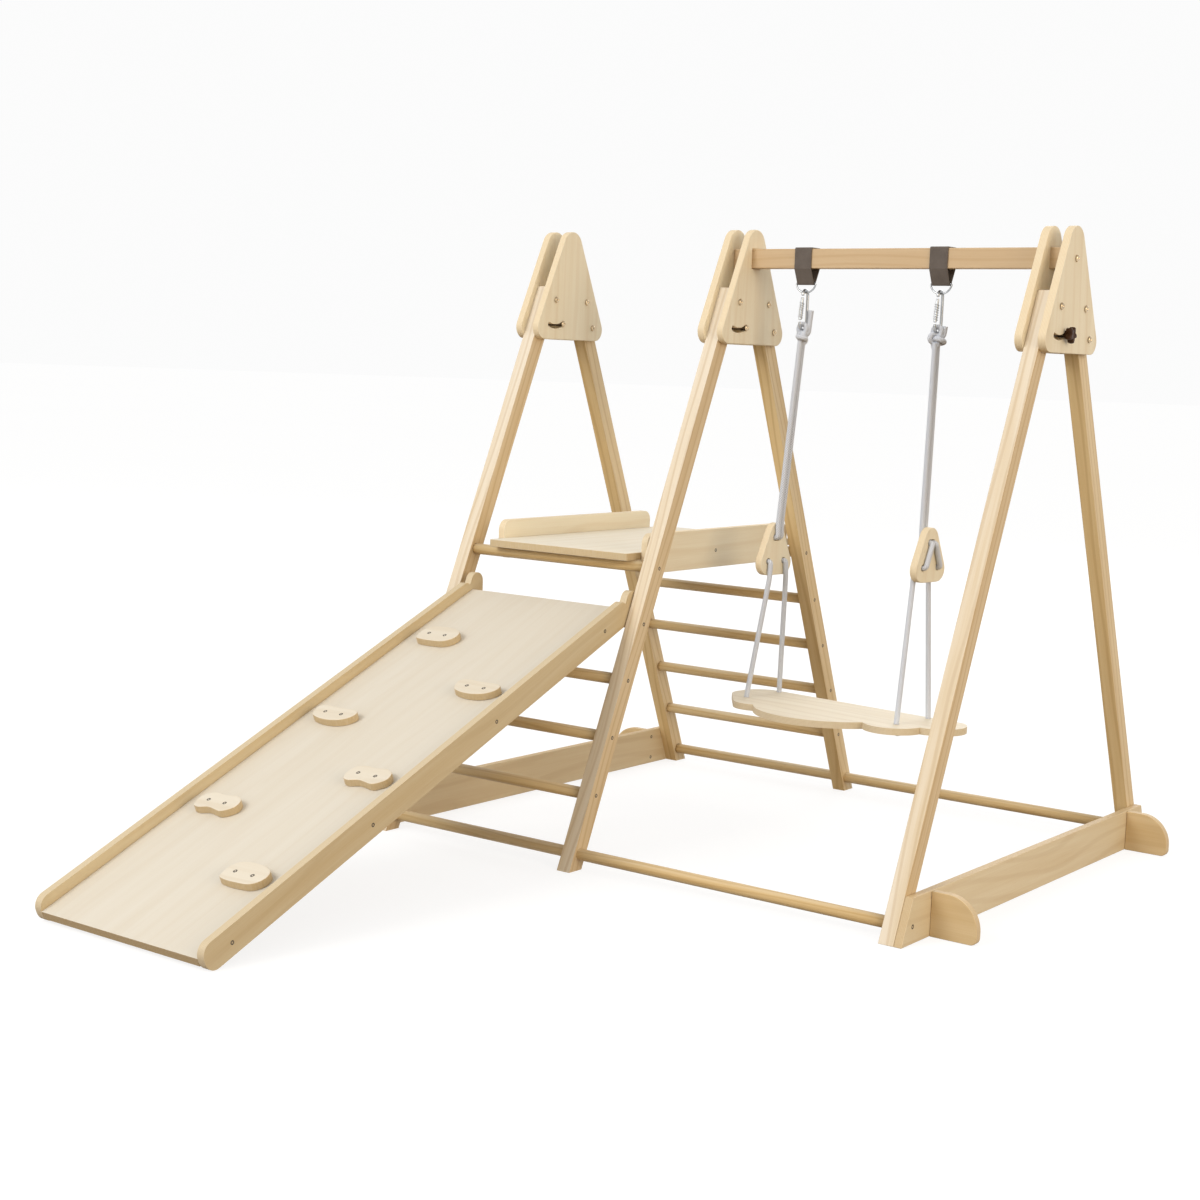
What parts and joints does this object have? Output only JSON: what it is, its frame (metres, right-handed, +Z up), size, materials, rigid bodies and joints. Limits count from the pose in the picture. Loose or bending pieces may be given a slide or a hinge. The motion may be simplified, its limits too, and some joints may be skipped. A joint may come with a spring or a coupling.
{
  "type": "folding climbing frame with ramp and swing",
  "caption": "Folding indoor wooden climbing frame: ladders front and back, a small platform, a ramp with climbing holds, and a swing on roped snap hooks.",
  "frame": {"origin": "middle of the floor outline, on the floor", "axes": "+X along the swing bar towards the swing's end frame, +Y to the back and away from the ramp's foot, +Z up"},
  "size_m": [1.3786, 1.9279, 1.22],
  "materials": {
    "ply": "clear satin",
    "solid_wood": "clear satin",
    "bar_wood": "clear satin",
    "webbing": "woven",
    "rope": "twisted",
    "steel": "zinc plated",
    "knob_plastic": "matte"
  },
  "bodies": {
    "front_frame": {"front_leg_0": "solid_wood", "front_leg_1": "solid_wood", "front_leg_2": "solid_wood", "front_rung_1": "solid_wood", "front_rung_2": "solid_wood", "front_rung_3": "solid_wood", "front_rung_4": "solid_wood", "front_rung_5": "solid_wood", "front_rung_6": "solid_wood", "base_board_left": "ply", "base_board_right": "ply", "outrigger_left_front": "ply", "outrigger_left_rear": "ply", "outrigger_right_front": "ply", "outrigger_right_rear": "ply"},
    "rear_frame": {"rear_leg_0": "solid_wood", "rear_leg_1": "solid_wood", "rear_leg_2": "solid_wood", "gusset_0_left": "ply", "gusset_0_right": "ply", "gusset_1_left": "ply", "gusset_1_right": "ply", "gusset_2_left": "ply", "gusset_2_right": "ply", "rear_rung_1": "solid_wood", "rear_rung_2": "solid_wood", "rear_rung_3": "solid_wood", "rear_rung_4": "solid_wood", "rear_rung_5": "solid_wood", "rear_rung_6": "solid_wood", "swing_bar": "bar_wood"},
    "platform": {"platform_deck": "ply", "platform_side_left": "ply", "platform_side_right": "ply"},
    "ramp": {"ramp_deck": "ply", "ramp_rail_left": "ply", "ramp_rail_right": "ply", "climbing_hold_1": "ply", "climbing_hold_2": "ply", "climbing_hold_3": "ply", "climbing_hold_4": "ply", "climbing_hold_5": "ply", "climbing_hold_6": "ply"},
    "straps": {"strap_left": "webbing", "strap_right": "webbing"},
    "swing": {"d_ring_left": "steel", "d_ring_right": "steel", "snap_hook_left": "steel", "snap_hook_right": "steel", "rope_left": "rope", "rope_right": "rope", "adjuster_left": "ply", "adjuster_right": "ply", "swing_seat": "ply"},
    "gate_left": {"snap_gate_left": "steel"},
    "gate_right": {"snap_gate_right": "steel"},
    "knob_left": {"lock_knob_0": "knob_plastic"},
    "knob_middle": {"lock_knob_1": "knob_plastic"},
    "knob_right": {"lock_knob_2": "knob_plastic"}
  },
  "joints": [
    {"name": "fold", "type": "hinge", "parent": "front_frame", "child": "rear_frame", "pos_m": [0, 0.38095, 1.0745], "axis": [-1, 0, 0], "range_deg": [0, 46]},
    {"name": "platform_tip", "type": "hinge", "parent": "front_frame", "child": "platform", "pos_m": [-0.3235, 0.1597, 0.5545], "axis": [1, 0, 0], "range_deg": [0, 40.02]},
    {"name": "ramp_lift", "type": "hinge", "parent": "front_frame", "child": "ramp", "pos_m": [-0.32865, 0.11506, 0.4496], "axis": [-1, 0, 0], "range_deg": [0, 45]},
    {"name": "strap_shift", "type": "slide", "parent": "rear_frame", "child": "straps", "axis": [1, 0, 0], "range_m": [-0.015, 0.08]},
    {"name": "swing", "type": "hinge", "parent": "straps", "child": "swing", "pos_m": [0.1875, 0.43435, 1.116], "axis": [1, 0, 0], "range_deg": [-45, 45]},
    {"name": "gate_left", "type": "hinge", "parent": "swing", "child": "gate_left", "pos_m": [0.04, 0.41635, 1.0393], "axis": [-1, 0, 0], "range_deg": [0, 13], "stiffness_Nm_per_rad": 0.02, "springref_deg": -17.19},
    {"name": "gate_right", "type": "hinge", "parent": "swing", "child": "gate_right", "pos_m": [0.335, 0.41635, 1.0393], "axis": [-1, 0, 0], "range_deg": [0, 13], "stiffness_Nm_per_rad": 0.02, "springref_deg": -17.19},
    {"name": "knob_left", "type": "hinge", "parent": "rear_frame", "child": "knob_left", "pos_m": [-0.6, 0.40638, 1.0246], "axis": [1, 0, 0], "continuous": true},
    {"name": "knob_middle", "type": "hinge", "parent": "rear_frame", "child": "knob_middle", "pos_m": [-0.13, 0.40638, 1.0246], "axis": [1, 0, 0], "continuous": true},
    {"name": "knob_right", "type": "hinge", "parent": "rear_frame", "child": "knob_right", "pos_m": [0.6, 0.40638, 1.0246], "axis": [1, 0, 0], "continuous": true}
  ],
  "couplings": [
    {"joint": "platform_tip", "follows": "fold", "ratio": 0.87}
  ]
}
